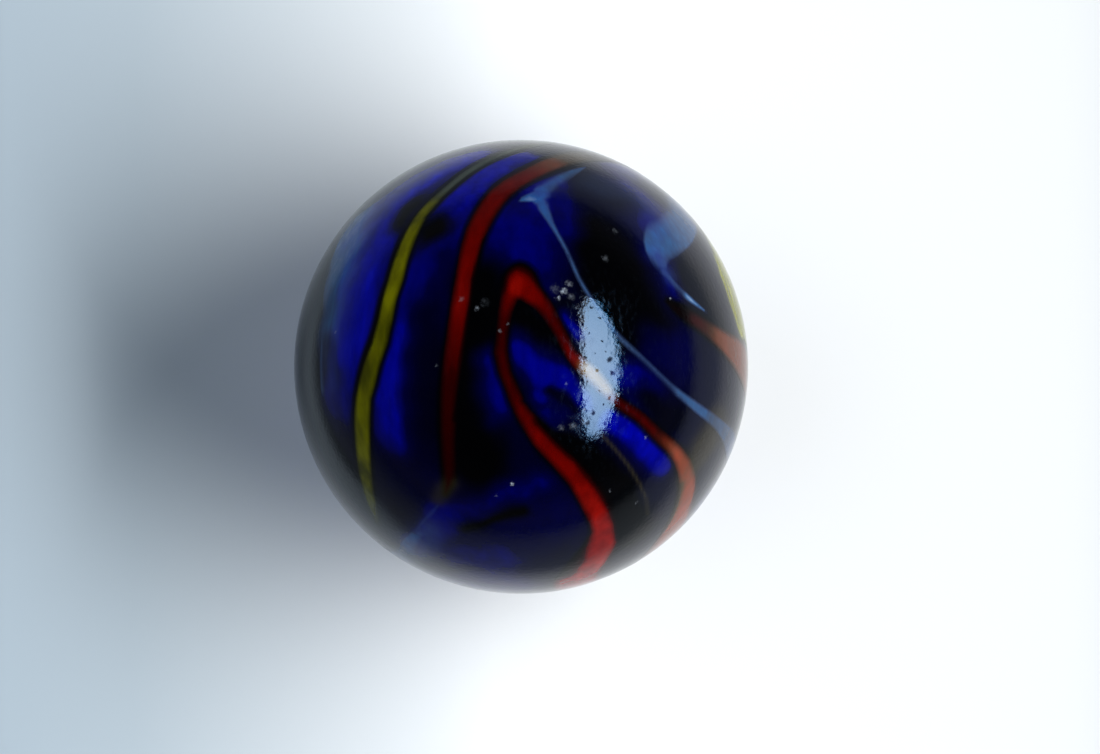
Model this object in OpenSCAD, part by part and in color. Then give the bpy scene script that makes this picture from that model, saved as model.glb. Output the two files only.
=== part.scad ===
// Glass marble: a solid ball of cobalt-blue glass with ribbons of red, yellow
// and pale glass melted flush into its skin.
//
// The origin is the centre of the ball, with +Z up. Places on the ball are
// given as [longitude, latitude] in degrees, round the axis along Y that the
// ribbons were drawn out along: [0, 0] is the top, +90 longitude is +X, and
// +90 latitude is +Y.

/* [Ball] */
// Diameter of the ball
ball_d = 16; // [12:0.5:25]

/* [Ribbons] */
// Depth of the coloured glass below the surface of the ball
ribbon_depth = 0.6; // [0.3:0.1:1.5]

/* [Red glass] */
// Greatest width of the long red ribbon
long_red_w = 1.0; // [0.5:0.1:1.4]
// Greatest width of the red ribbon that folds back on itself
folded_red_w = 2.0; // [1.2:0.1:2.4]
// Greatest width of the short red ribbon on the side
side_red_w = 1.6; // [0.8:0.1:2]

/* [Yellow glass] */
// Greatest width of the long yellow ribbon
long_yellow_w = 0.85; // [0.4:0.05:1.2]
// Greatest width of the short yellow ribbon on the side
side_yellow_w = 1.9; // [1:0.1:2.2]

/* [Pale glass] */
// Greatest width of the long pale wisp
long_wisp_w = 1.05; // [0.6:0.05:1.4]
// Greatest width of the short pale wisp on the side
side_wisp_w = 1.9; // [1:0.1:2.2]
// Greatest width of the pale wisp low on the ball
low_wisp_w = 1.4; // [0.8:0.1:1.8]
// Greatest width of the pale veil
veil_w = 2.1; // [1.2:0.1:2.6]

/* [Hidden] */

ball_r = ball_d / 2;
// How far the cutting shapes stand out of the ball
cut_over = 0.5;
// How much shallower a cut is than the one that it runs into, so that their
// floors and tops never lie in one surface
cut_step = 0.05;
// Smooth steps between two points of a ribbon's route
route_steps = 3;

// Each route is a list of [longitude, latitude, share of the greatest width].
long_red_route = [
    [-158, -16, 0.05], [-166, 6, 0.5], [174, 28, 0.8], [142, 45, 1], [100, 58, 1], [62, 66, 1],
    [44, 65.5, 1], [22, 61.5, 0.95], [5, 54.5, 0.85], [-7, 46, 0.85], [-13, 33, 0.8],
    [-14.5, 19, 0.75], [-16, 4, 0.75], [-18, -9, 0.7], [-19.5, -21, 0.6], [-21, -31, 0.5],
    [-24, -36.5, 0.1]
];
// The left leg of the folded ribbon, up from low on the ball to the fold
folded_red_up_route = [
    [-142, -24, 0.05], [-150, -40, 0.4], [-170, -56, 0.6], [150, -70, 0.75], [85, -76, 0.85],
    [48, -71, 0.85], [39.5, -64, 0.82], [36.5, -57, 0.75], [34.5, -50.5, 0.62],
    [30, -42.5, 0.42], [23, -35, 0.35], [15.5, -28.5, 0.35], [9.5, -23.5, 0.33],
    [4.5, -18.5, 0.3], [0, -13.5, 0.24], [-2.5, -8, 0.2], [-4.5, 1, 0.2], [-4, 9, 0.24],
    [-3.2, 12.8, 0.28]
];
// The inside corner of the fold, and how far from it the red glass starts
fold_corner = [-0.2, 13];
fold_corner_gap = 0.1;
// The way that the fold fans round that corner: each is a heading in degrees
// and the red glass's reach from the corner, as a share of the greatest width
fold_fan = [[160, 0.35], [135, 0.45], [112, 0.625], [90, 0.74], [70, 0.65], [52, 0.525]];
// The right leg of the folded ribbon, down from the fold
folded_red_down_route = [
    [3.2, 15, 0.4], [6, 12, 0.3], [9.5, 6, 0.23],
    [13, -0.5, 0.21], [17, -5, 0.21], [21.5, -9, 0.21], [26, -12, 0.21], [32, -15, 0.21],
    [39, -19.5, 0.23], [47, -23.5, 0.28], [54.5, -28.5, 0.38], [61, -34, 0.5],
    [67, -40, 0.62], [76, -47, 0.8], [92, -54, 0.9], [118, -55, 0.8], [145, -46, 0.5],
    [160, -34, 0.05]
];
side_red_route = [
    [40.5, 14.5, 0.08], [45, 12, 0.32], [52, 9, 0.4], [62, 5, 0.55], [75, 1, 0.9],
    [90, -4, 1], [110, -9, 0.8], [130, -10, 0.4], [142, -9, 0.05]
];
long_yellow_route = [
    [-130, 8, 0.05], [-132, 28, 0.5], [-138, 48, 0.7], [-150, 66, 0.7], [150, 80, 0.65],
    [40, 79, 0.62], [3, 71, 0.6], [-12, 64.5, 0.56], [-22, 57, 0.6], [-28, 48.5, 0.6],
    [-32, 41.5, 0.66], [-34.5, 34.5, 0.68], [-35.5, 27.5, 0.7], [-35.7, 19.5, 0.7],
    [-36.5, 11.5, 0.74], [-38, 5, 0.8], [-40.5, -1, 0.86], [-43, -8, 0.95],
    [-45.5, -16, 1], [-48.5, -24.5, 0.95], [-53, -33.5, 0.85], [-58, -41, 0.6],
    [-63, -45.5, 0.15]
];
side_yellow_route = [
    [134, 48, 0.05], [119, 48, 0.4], [103, 44, 0.75], [89, 36, 0.95], [81.5, 24, 1],
    [81.5, 13, 0.85], [88, 5.5, 0.4], [95, 2.5, 0.05]
];
long_wisp_route = [
    [34, 58.5, 0.1], [19, 53, 0.6], [10, 47.5, 0.9], [6.5, 42, 0.5], [9, 36, 0.28],
    [13, 27, 0.22], [15.5, 19.5, 0.22], [18.5, 14, 0.22], [21.5, 9.5, 0.23], [25.5, 4.5, 0.26],
    [32.5, -1.5, 0.3], [41, -7.5, 0.34], [51, -12, 0.4], [62, -15.5, 0.5], [74, -19, 0.75],
    [90, -23, 0.9], [110, -24, 0.7], [128, -20, 0.3], [138, -17, 0.05]
];
// The pointed corner of the long wisp
wisp_tip_route = [[11, 46.5, 0.7], [5, 45, 0.45], [0, 44.2, 0.05]];
side_wisp_route = [
    [98, 52, 0.05], [84, 46, 0.5], [72, 42, 0.85], [60, 38, 1], [49, 33, 0.95],
    [42.5, 28, 0.7], [41.5, 23, 0.4], [44.5, 18.5, 0.24], [49, 15.2, 0.18], [56, 11.8, 0.05]
];
low_wisp_route = [
    [-128, -30, 0.05], [-118, -44, 0.5], [-100, -55, 0.85], [-80, -59, 0.95], [-64, -57.5, 0.85],
    [-52, -53.5, 0.7], [-42, -49, 0.45], [-34, -44, 0.26], [-28.5, -40.3, 0.14],
    [-26.3, -38.6, 0.05]
];
veil_route = [
    [-112, 50, 0.05], [-92, 49, 0.5], [-74, 45, 0.9], [-61, 38, 1], [-55, 27, 1],
    [-53.5, 14, 1], [-54, 2, 0.95], [-56, -9, 0.75], [-60, -19, 0.4], [-64, -27, 0.05]
];

function unit(v) = v / norm(v);

// Direction from the centre of the ball to a [longitude, latitude]
function direction(place) =
    [sin(place[0]) * cos(place[1]), sin(place[1]), cos(place[0]) * cos(place[1])];

// Item i of a list, or the end that lies nearest when i is past it
function near(list, i) = list[max(0, min(len(list) - 1, i))];

// A point between b and c on the smooth curve through a, b, c and d
function between(a, b, c, d, t) =
    b + (c - a) * t / 2
    + (2 * a - 5 * b + 4 * c - d) * t * t / 2
    + (3 * b - a - 3 * c + d) * t * t * t / 2;

// The smooth curve through a list of points
function smooth_curve(list) = [
    for (i = [0 : len(list) - 2], k = [0 : route_steps - 1])
        between(near(list, i - 1), list[i], list[i + 1], near(list, i + 2), k / route_steps),
    list[len(list) - 1]
];

// The place that lies at a heading and a distance from another, over the ball's surface
function offset_place(from, heading, distance) =
    let (
        east = unit(cross([0, 1, 0], from)),
        north = cross(from, east)
    )
    unit(from + (east * cos(heading) + north * sin(heading)) * distance / ball_r);

// The left and right edge of a ribbon at each step along its route
function edges_along(route, greatest_w) =
    let (
        middles = [for (p = smooth_curve([for (stop = route) direction(stop)])) unit(p)],
        shares = smooth_curve([for (stop = route) [stop[2]]])
    )
    [
        for (i = [0 : len(middles) - 1])
            let (
                along = unit(near(middles, i + 1) - near(middles, i - 1)),
                right_side = unit(cross(along, middles[i])),
                reach = max(0.01, shares[i][0]) * greatest_w / ball_r / 2
            )
            [unit(middles[i] - right_side * reach), unit(middles[i] + right_side * reach)]
    ];

// The left and right edge of the fold at each step round its inside corner
function edges_round_fold() =
    let (corner = direction(fold_corner))
    [
        for (stop = smooth_curve(fold_fan))
            [
                offset_place(corner, stop[0], stop[1] * folded_red_w),
                offset_place(corner, stop[0], fold_corner_gap)
            ]
    ];

// A cut as wide as the ribbon, from its floor out through the surface of the ball
module cut_between(edges, step = 0) {
    low = ball_r - ribbon_depth + step;
    high = ball_r + cut_over - step;
    last = len(edges) - 1;
    corners = [
        for (pair = edges)
            each [pair[0] * low, pair[0] * high, pair[1] * high, pair[1] * low]
    ];
    walls = [
        for (i = [0 : last - 1], k = [0 : 3])
            let (a = 4 * i + k, b = 4 * i + (k + 1) % 4)
            each [[a, a + 4, b + 4], [a, b + 4, b]]
    ];
    start_cap = [for (k = [0 : 3]) k];
    end_cap = [for (k = [0 : 3]) 4 * last + 3 - k];
    polyhedron(corners, concat([start_cap], walls, [end_cap]), convexity = 10);
}

module ribbon_cut(route, greatest_w, step = 0)
    cut_between(edges_along(route, greatest_w), step);

module red_cuts() {
    ribbon_cut(long_red_route, long_red_w);
    cut_between(concat(
        edges_along(folded_red_up_route, folded_red_w),
        edges_round_fold(),
        edges_along(folded_red_down_route, folded_red_w)
    ));
    ribbon_cut(side_red_route, side_red_w);
}

module yellow_cuts() {
    ribbon_cut(long_yellow_route, long_yellow_w);
    ribbon_cut(side_yellow_route, side_yellow_w);
}

module pale_cuts() {
    ribbon_cut(long_wisp_route, long_wisp_w);
    ribbon_cut(wisp_tip_route, long_wisp_w, cut_step);
    ribbon_cut(side_wisp_route, side_wisp_w);
    ribbon_cut(low_wisp_route, low_wisp_w);
    ribbon_cut(veil_route, veil_w);
}

// Turned so that the poles of the sphere lie at +X and -X, clear of the long ribbons
module whole_ball() rotate([90, 0, 90]) sphere(r = ball_r, $fn = 96);

// The cobalt-blue glass, with a groove for each ribbon
module ball() {
    color("#0b0f5c")
    difference() {
        whole_ball();
        red_cuts();
        yellow_cuts();
        pale_cuts();
    }
}

// The red glass, flush with the ball
module red_ribbons() {
    color("#8c1414")
    intersection() {
        whole_ball();
        red_cuts();
    }
}

// The yellow glass, which stops where it meets the red
module yellow_ribbons() {
    color("#8a8a1e")
    difference() {
        intersection() {
            whole_ball();
            yellow_cuts();
        }
        red_cuts();
    }
}

// The pale glass, which stops where it meets the red or the yellow
module pale_wisps() {
    color("#5a6fa8")
    difference() {
        intersection() {
            whole_ball();
            pale_cuts();
        }
        red_cuts();
        yellow_cuts();
    }
}

ball();
red_ribbons();
yellow_ribbons();
pale_wisps();
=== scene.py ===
"""Glass marble: the looks of its cobalt ball and of the red, yellow and pale glass in its skin."""

import math

import bpy
import numpy as np
from bpy.props import FloatProperty, FloatVectorProperty, IntProperty, PointerProperty
from mathutils import Matrix, Vector
from mathutils.bvhtree import BVHTree
from mathutils.kdtree import KDTree


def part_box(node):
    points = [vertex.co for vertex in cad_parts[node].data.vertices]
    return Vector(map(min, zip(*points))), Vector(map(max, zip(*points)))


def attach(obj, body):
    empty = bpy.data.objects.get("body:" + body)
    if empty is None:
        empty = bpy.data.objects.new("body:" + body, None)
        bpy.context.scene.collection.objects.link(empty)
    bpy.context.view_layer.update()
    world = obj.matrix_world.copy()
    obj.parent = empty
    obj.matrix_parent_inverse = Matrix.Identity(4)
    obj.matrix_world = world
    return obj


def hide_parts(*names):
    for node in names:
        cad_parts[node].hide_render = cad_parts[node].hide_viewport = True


bl_info = {
    "name": "Glass marble",
    "version": (1, 0, 0),
    "blender": (4, 5, 0),
    "location": "View3D > Sidebar > Marble",
    "description": "Builds the glass and the stage of a swirled marble",
    "category": "Object",
}

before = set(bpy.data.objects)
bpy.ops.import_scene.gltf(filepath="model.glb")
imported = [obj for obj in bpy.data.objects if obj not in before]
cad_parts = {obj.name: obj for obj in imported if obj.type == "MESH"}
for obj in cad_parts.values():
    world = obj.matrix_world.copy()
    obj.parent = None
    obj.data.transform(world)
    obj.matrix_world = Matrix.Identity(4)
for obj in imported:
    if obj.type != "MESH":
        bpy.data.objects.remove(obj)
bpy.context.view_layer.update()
BALL_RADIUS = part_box("ball")[1].x  # as far as the mesh of the CAD ball reaches along X
MM = 0.001

# Where things lie on the ball, as [longitude, latitude] in degrees round the Y axis:
# [0, 0] is the top, +90 longitude is +X, and +90 latitude is +Y. A stroke is its path,
# with half its width in mm at each point, how far it fades out in mm, and its level.
# Each stroke is laid over those before it, and the first number is the level under all.

# The dark glass outside the veil, which hides both the painted glow and the film
OUTSIDE_VEIL = [
    (-78, 49, 1.2), (-85, 41, 1.2), (-82, 29, 1.2), (-76, 20, 1.2), (-73, 13, 1.2),
    (-72, 4, 1.2), (-71, -2, 1.2), (-72, -15, 1.2), (-68, -24, 1.2), (-64, -30, 1.2),
]
# The dark line in the top of the long yellow ribbon, neither bright nor faded
YELLOW_LINE = [(-28, 44), (-25, 49), (-21, 54), (-16, 57)]

# Painted light: the glow of light coming through the cobalt glass, as colour; 0 is black, 1 is bright
# royal blue
PAINTED_GLOW = (
    0.08,
    [
        # left of the yellow ribbon, behind the veil
        ([(-47, 36, 0.1), (-46, 27, 0.2), (-46, 19, 0.25), (-46, 11, 0.25), (-47, 3, 0.2),
          (-50, -4, 0.1), (-53, -8, 0.05)], 0.9, 0.72),
        ([(-63, 33, 0.2), (-58, 38, 0.25), (-52, 40, 0.2), (-48, 42, 0.1)], 0.6, 0.58),
        ([(-57, 34, 0.2), (-54, 25, 0.25), (-51, 15, 0.25), (-52, 8, 0.15)], 0.45, 0.66),
        ([(-53, -3, 0.1), (-54, -11, 0.15)], 0.4, 0.4),
        # along the upper left
        ([(-46, 47, 0.08), (-43, 52, 0.12), (-39, 56, 0.12), (-35, 60, 0.1),
          (-26, 65, 0.08)], 0.72, 0.8),
        ([(-39, 37, 0.05), (-39, 41, 0.1), (-38, 43, 0.04)], 0.42, 0),
        # between the yellow ribbon and the long red one
        ([(1, 63, 0.1), (-8, 60, 0.2), (-15, 56, 0.35), (-19, 50, 0.4), (-22, 45, 0.35),
          (-23, 41, 0.25)], 0.65, 0.64),
        ([(-23, 29, 0.2), (-25, 24, 0.3), (-28, 19, 0.3), (-29, 14, 0.2), (-30, 10, 0.1)], 0.91, 0.52),
        ([(-19, 24, 0.1), (-19, 14, 0.15), (-20, 6, 0.1)], 0.78, 0.24),
        ([(-25, 9, 0.15), (-23, 1, 0.3), (-22, -6, 0.3), (-22, -15, 0.3), (-25, -24, 0.2)], 0.78, 0.06),
        ([(-32, 7, 0.02), (-34, 0, 0.1), (-35, -6, 0.16), (-36, -12, 0.2),
          (-37, -17, 0.18), (-38, -22, 0.12)], 0.62, 0.6),
        ([(-29, 33, 0.08), (-26, 34, 0.12)], 0.48, 0),
        ([(-43, -29, 0.3), (-37, -31, 0.3), (-30, -33, 0.3)], 0.78, 0.12),
        # right of the long red ribbon
        ([(-7, 38, 0.2), (-3, 33, 0.4), (1, 29, 0.4), (4, 25, 0.2)], 0.95, 0.37),
        ([(10, 40, 0.15), (13, 36, 0.2), (15, 29, 0.15)], 0.78, 0.42),
        ([(-10, 18, 0.4), (-10, 6, 0.4), (-13, -6, 0.4), (-14, -19, 0.4), (-11, -27, 0.6)], 0.78, 0),
        ([(-8, -2, 0), (-7, -6, 0.06), (-6, -11, 0.06), (-5, -14, 0)], 0.42, 0.36),
        # inside the fold
        ([(-2, 14, 0.1), (2, 8, 0.3), (8, 2, 0.25)], 0.45, 0),
        ([(-1, 1, 0.05), (2, -2, 0.18), (6, -5, 0.22), (10, -8, 0.22), (15, -11, 0.15)], 0.4, 0.46),
        ([(0, -9, 0.08), (4, -13, 0.15), (7, -16, 0.1)], 0.3, 0.08),
        ([(5, -10, 0.08)], 0.22, 0.42),
        ([(7, -9, 0.02), (10, -11, 0.07), (14, -14, 0.05)], 0.18, 0.04),
        ([(6, -14, 0.05), (10, -17, 0.08)], 0.25, 0.3),
        ([(8, 18, 0.12)], 0.4, 0.22),
        ([(11, 12, 0.12)], 0.3, 0.02),
        ([(11, 8, 0.05), (14, 5, 0.08)], 0.25, 0.5),
        ([(25, -15, 0.2), (30, -18, 0.33), (36, -22, 0.4), (41, -24, 0.36), (44, -25, 0.25)], 0.36, 0.56),
        ([(10, -22, 0.2), (18, -26, 0.45), (26, -33, 0.5), (37, -41, 0.5), (47, -49, 0.5)], 0.5, 0),
        # right of the fold
        ([(24, 32, 0.5), (26, 22, 0.9), (30, 12, 0.9), (33, 6, 0.7)], 1.04, 0),
        ([(45, 48, 0.3), (47, 43, 0.3), (45, 37, 0.15)], 0.91, 0.38),
        ([(22, 50, 0.3), (31, 48, 0.3), (34, 44, 0.2)], 0.78, 0.07),
        ([(5, 46, 0.2), (11, 49, 0.15), (15, 50, 0.1)], 0.4, 0.5),
        ([(14, 47, 0.1), (13, 40, 0.15), (13, 33, 0.12)], 0.35, 0.3),
        ([(26, -5, 0.15), (31, -6, 0.2), (35, -7, 0.1)], 0.4, 0.36),
        ([(37, 2, 0.2), (43, 1, 0.35), (45, -2, 0.2)], 0.55, 0.17),
        ([(35, -11, 0.1), (39, -14, 0.2), (44, -16, 0.2)], 0.52, 0.02),
        ([(43, 26, 0.05), (44, 23, 0.1), (45, 19, 0.05)], 0.65, 0.45),
        ([(52, 21, 0.3), (56, 16, 0.3), (60, 11, 0.3)], 0.78, 0.03),
        # the dark glass outside the veil, with no painted glow
        (OUTSIDE_VEIL, 0.16, 0.03),
        ([(-60, 43, 0.1), (-56, 48, 0.12), (-51, 54, 0.15), (-43, 59, 0.1)], 0.45, 0.62),
        # low on the ball
        ([(6, -33, 0.02), (-3, -37, 0.08), (-13, -40, 0.1), (-22, -42, 0.1),
          (-29, -43, 0.06)], 0.42, 0.3),
        ([(-26, -47, 0.08), (-30, -49, 0.1)], 0.52, 0.46),
        ([(-18, -55, 0.3), (0, -52, 0.4), (12, -46, 0.5)], 0.85, 0.19),
        ([(-42, -56, 0.1), (-32, -61, 0.1), (-17, -62, 0.1)], 0.35, 0.3),
        ([(-44, -56, 0.15), (-31, -59, 0.25), (-13, -60, 0.3)], 0.65, 0.36),
        ([(0, -41, 0.02), (-9, -44, 0.05), (-20, -47, 0.03)], 0.22, 0),
        ([(-54, -54, 0.2), (-41, -50, 0.3), (-30, -45, 0.2)], 0.45, 0.42),
        # the far side, in the same glass
        ([(-108, 40, 0.4), (-110, 10, 0.6), (-106, -20, 0.4)], 0.9, 0.4),
        ([(-128, 30, 0.5), (-130, -5, 0.6), (-118, -35, 0.4)], 0.9, 0.62),
        ([(-150, 20, 0.5), (-146, -10, 0.6), (-130, -50, 0.4)], 1.17, 0.5),
        ([(178, 45, 0.4), (-176, 5, 0.6), (-172, -40, 0.5)], 1.17, 0.62),
        ([(150, 25, 0.5), (155, -5, 0.6)], 0.91, 0),
        ([(140, -25, 0.5), (120, -35, 0.5), (95, -38, 0.3)], 1.17, 0.55),
        ([(125, 20, 0.5), (108, 15, 0.4)], 1.04, 0.55),
        ([(60, 62, 0.3), (100, 66, 0.4), (150, 58, 0.3)], 1.04, 0.5),
        ([(-20, -75, 0.5), (-90, -72, 0.5), (-150, -70, 0.4)], 1.17, 0.4),
    ],
)

# How much pale film clouds the cobalt glass beside the wisps: 0 is none, 1 is milky
FILM = (
    0.0,
    [
        # the haze along the upper left
        ([(-65, 32, 0.35), (-65, 39, 0.3)], 0.6, 0.58),
        ([(-57, 45, 0.1), (-52, 51, 0.1), (-47, 59, 0.1)], 0.5, 0.1),
        # the veil
        ([(-61, 29, 0.3), (-59, 22, 0.35)], 0.75, 0.5),
        ([(-58, 15, 0.2), (-57, 8, 0.15)], 0.65, 0.42),
        ([(-56, 2, 0.15), (-56, -5, 0.1)], 0.5, 0.14),
        # beside the other wisps
        ([(-36, -48, 0.05), (-45, -52, 0.2), (-57, -57, 0.25)], 0.5, 0.2),
        ([(41, 25, 0.05), (43, 21, 0.05)], 0.3, 0.12),
        ([(33, 51, 0.2), (43, 48, 0.2)], 0.6, 0.08),
        ([(49, 45, 0.2), (50, 40, 0.2)], 0.5, 0.1),
        # none of it outside the veil
        (OUTSIDE_VEIL, 0.12, 0),
    ],
)

# How milky the pale glass of a wisp is
WISP = (
    0.0,
    [
        # the left edge of the veil
        ([(-67, 28, 0.05), (-63, 18, 0.08), (-62, 10, 0.08), (-61, 3, 0.05),
          (-61, -7, 0.03)], 0.2, 0.36),
        # the wide wisp at the upper right, and its tail
        ([(42, 30, 0.45), (53, 36, 0.8), (65, 37, 0.9), (64, 33, 0.5)], 0.35, 0.42),
        ([(40, 37, 0.1), (48, 40, 0.12), (61, 45, 0.1)], 0.3, 0.03),
        ([(42, 25, 0.15)], 0.2, 0.3),
        ([(42, 22, 0.03), (45, 19, 0.03), (49, 16, 0.04)], 0.13, 0.25),
        ([(49, 16, 0.05), (53, 13, 0.06), (58, 10, 0.05)], 0.14, 0.66),
        # the wisp at the lower left
        ([(-79, -56, 0.1), (-57, -53, 0.16), (-44, -48, 0.1)], 0.3, 0.46),
        ([(-44, -48, 0.03), (-36, -44, 0.03), (-28, -39, 0.02)], 0.12, 0.2),
        # the fine wisp that is folded at the top
        ([(1, 43, 0.1), (5, 45, 0.25), (10, 47, 0.2), (16, 51, 0.15), (31, 57, 0.1)], 0.15, 0.4),
        ([(0, 43, 0.06), (3, 43, 0.1), (6, 43, 0.05)], 0.12, 0.6),
        ([(29, 54, 0.05), (22, 51, 0.1), (17, 48, 0.14), (13, 45, 0.14)], 0.16, 0.03),
        ([(7, 42, 0.1), (8, 39, 0.12), (9, 36, 0.1), (10, 32, 0.08), (12, 28, 0.05),
          (13, 25, 0.045), (15, 19, 0.05), (18, 13, 0.07)], 0.11, 0.42),
        ([(18, 13, 0.07), (21, 8, 0.06), (25, 4, 0.05)], 0.11, 0.36),
        ([(25, 4, 0.05), (31, 1, 0.05), (38, -4, 0.06), (44, -8, 0.08)], 0.13, 0.27),
        ([(45, -8, 0.1), (52, -12, 0.16), (62, -16, 0.2), (76, -19, 0.25)], 0.2, 0.42),
        ([(76, -20, 0.3), (110, -24, 0.3)], 0.3, 0.34),
        # the far side
        ([(80, 46, 0.5), (95, 44, 0.5)], 0.5, 0.42),
        ([(-64, -54, 0.2), (-90, -58, 0.3)], 0.4, 0.4),
    ],
)

# How strong the red of a ribbon is: 0 is nearly black, 1 is full
RED = (
    0.4,
    [
        # the long ribbon
        ([(31, 63, 0.3), (46, 65, 0.4)], 0.8, 0.05),
        ([(11, 58, 0.3)], 0.7, 0.46),
        ([(-4, 51, 0.3), (-11, 43, 0.3)], 0.8, 0.46),
        ([(-15, 33, 0.3), (-16, 16, 0.3)], 1, 0.5),
        ([(-16, 11, 0.3)], 0.7, 0.54),
        ([(-17, 1, 0.3), (-17, -5, 0.3)], 0.9, 0.36),
        ([(-18, -11, 0.3), (-19, -19, 0.3)], 0.9, 0.2),
        ([(-20, -29, 0.4), (-26, -38, 0.5)], 1.1, 0.15),
        ([(-6, 36, 0), (-10, 30, 0.01), (-11, 24, 0.02), (-12, 19, 0.03), (-12, 14, 0.04),
          (-13, 6, 0.05), (-14, -1, 0.05), (-15, -9, 0.03), (-17, -16, 0.02)], 0.1, 0.04),
        # the fold
        ([(-1, 18, 0.25)], 0.45, 0.68),
        ([(-4, 23, 0.05), (-1, 24, 0.05), (3, 23, 0.05)], 0.36, 0.03),
        ([(-5, 22, 0.05), (-5, 18, 0.05), (-5, 15, 0)], 0.24, 0.05),
        ([(4, 23, 0.05), (5, 20, 0.05), (7, 16, 0)], 0.3, 0.05),
        # its left leg, with a dark right edge
        ([(-4, 13, 0.1)], 0.25, 0.4),
        ([(-5, 6, 0.2), (-5, -1, 0.3), (-2, -10, 0.3)], 0.7, 0.28),
        ([(2, -17, 0.3)], 0.6, 0.36),
        ([(5, -23, 0.3)], 0.6, 0.45),
        ([(12, -29, 0.3)], 0.6, 0.5),
        ([(22, -38, 0.4)], 0.6, 0.57),
        ([(31, -46, 0.5), (41, -60, 0.6)], 0.8, 0.68),
        ([(5, -16.5, 0.02), (10, -21, 0.08), (16.5, -26, 0.1), (22, -31, 0.1),
          (27, -35.5, 0.11), (32, -40, 0.12), (36.5, -44.5, 0.08), (42, -50, 0.02)], 0.17, 0),
        ([(58, -71, 0.6), (50, -66, 0.8), (90, -72, 0.8)], 0.8, 0.78),
        ([(26, -53, 0.02), (27, -60, 0.22), (26, -67, 0.32)], 0.26, 0.05),
        # its right leg
        ([(8, 7, 0.2), (12, 1, 0.3)], 0.6, 0.3),
        ([(3, 15, 0.1)], 0.3, 0.52),
        ([(14, -2, 0.2), (23, -9, 0.2)], 0.4, 0.5),
        # painted highlight: weaker red where the leg passes under the window's reflection
        ([(17.5, -3.5, 0.12), (22, -7.5, 0.12)], 0.25, 0.2),
        ([(29, -12, 0.2), (37, -18, 0.2)], 0.6, 0.3),
        ([(50, -26, 0.3)], 0.5, 0.62),
        ([(62, -34, 0.5), (62, -42, 0.5), (80, -48, 0.5)], 0.7, 0.62),
        ([(56, -33, 0), (57, -36, 0.06), (59, -39.5, 0.12), (61, -44, 0.2), (63, -49, 0.25)], 0.2, 0.05),
        # the short ribbon on the right
        ([(48, 10, 0.3)], 0.6, 0.08),
        ([(53, 8, 0.3)], 0.5, 0.24),
        ([(41, 15, 0.1), (46, 12, 0.12)], 0.3, 0),
        ([(69, 3, 0.5), (90, -4, 0.8)], 0.8, 0.46),
    ],
)

# How strong the yellow of a ribbon is, in the same way
YELLOW = (
    0.5,
    [
        # the long ribbon
        ([(-9, 64, 0.3), (-23, 56, 0.2)], 0.8, 0.3),
        ([(-28, 51, 0.2), (-31, 46, 0.2)], 0.6, 0.42),
        ([(-33, 40, 0.2), (-34, 31, 0.2)], 0.7, 0.58),
        ([(-35, 24, 0.3), (-36, 15, 0.3)], 0.9, 0.65),
        ([(-38, 5, 0.3)], 0.7, 0.58),
        ([(-44, -10, 0.3)], 0.6, 0.61),
        ([(-47, -16, 0.3), (-49, -25, 0.3)], 0.7, 0.66),
        ([(-51, -31, 0.3), (-53, -37, 0.4)], 0.5, 0.53),
        ([(-37.5, 36.5, 0), (-38, 29.5, 0.03), (-38.5, 22.5, 0.03), (-39, 15.5, 0.03),
          (-39.5, 10, 0.05), (-41, 4, 0.06), (-43.5, -1, 0.05), (-46, -6, 0.04),
          (-49, -11.5, 0.02)], 0.11, 0.04),
        (YELLOW_LINE, 0.09, 0),
        # the short one at the right
        ([(82, 34, 0.8), (82, 8, 0.8)], 0.8, 0.7),
    ],
)

# How far the red and the yellow glass fade to a greyish brown; under the window's reflection the same
# mask paints a pale cream highlight
FADE_AND_GLARE = (
    0.0,
    [
        # the top of the long ribbons
        ([(20, 60, 0.3), (31, 63, 0.4)], 0.7, 0.13),
        ([(20, 75, 0.6), (8, 71, 0.4)], 0.9, 0.22),
        ([(-14, 64, 0.4)], 0.6, 0.5),
        ([(-23, 56, 0.3), (-29, 50, 0.2)], 0.6, 0.75),
        # the short red ribbon, and the right leg of the fold
        ([(62, 6, 0.2), (69, 3, 0.5), (90, -4, 0.8)], 0.7, 0.12),
        ([(50, -26, 0.3), (60, -33, 0.4), (80, -48, 0.4)], 0.8, 0.15),
        # painted highlight: where that leg passes under the window's reflection, its red is painted pale
        # cream
        ([(17.5, -3.5, 0.12), (22, -7.5, 0.12)], 0.25, 0.66),
        (YELLOW_LINE, 0.09, 0),
    ],
)

# How olive the glass is: a fine thread between the legs of the fold, and two smoky patches
OLIVE = (
    0.0,
    [
        ([(57, -28, 0.1), (59, -23, 0.35), (63, -17, 0.3)], 0.5, 0.55),
        ([(59, -14, 0.05), (73, -19, 0.2)], 0.25, 0.4),
        ([(-27, -38, 0.03), (-24, -35, 0.08), (-21, -33, 0.03)], 0.25, 0.3),
        ([(22, -20), (27, -24), (32, -28), (38, -33), (43, -37), (48, -42)], 0.055, 0.4),
    ],
)

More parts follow.
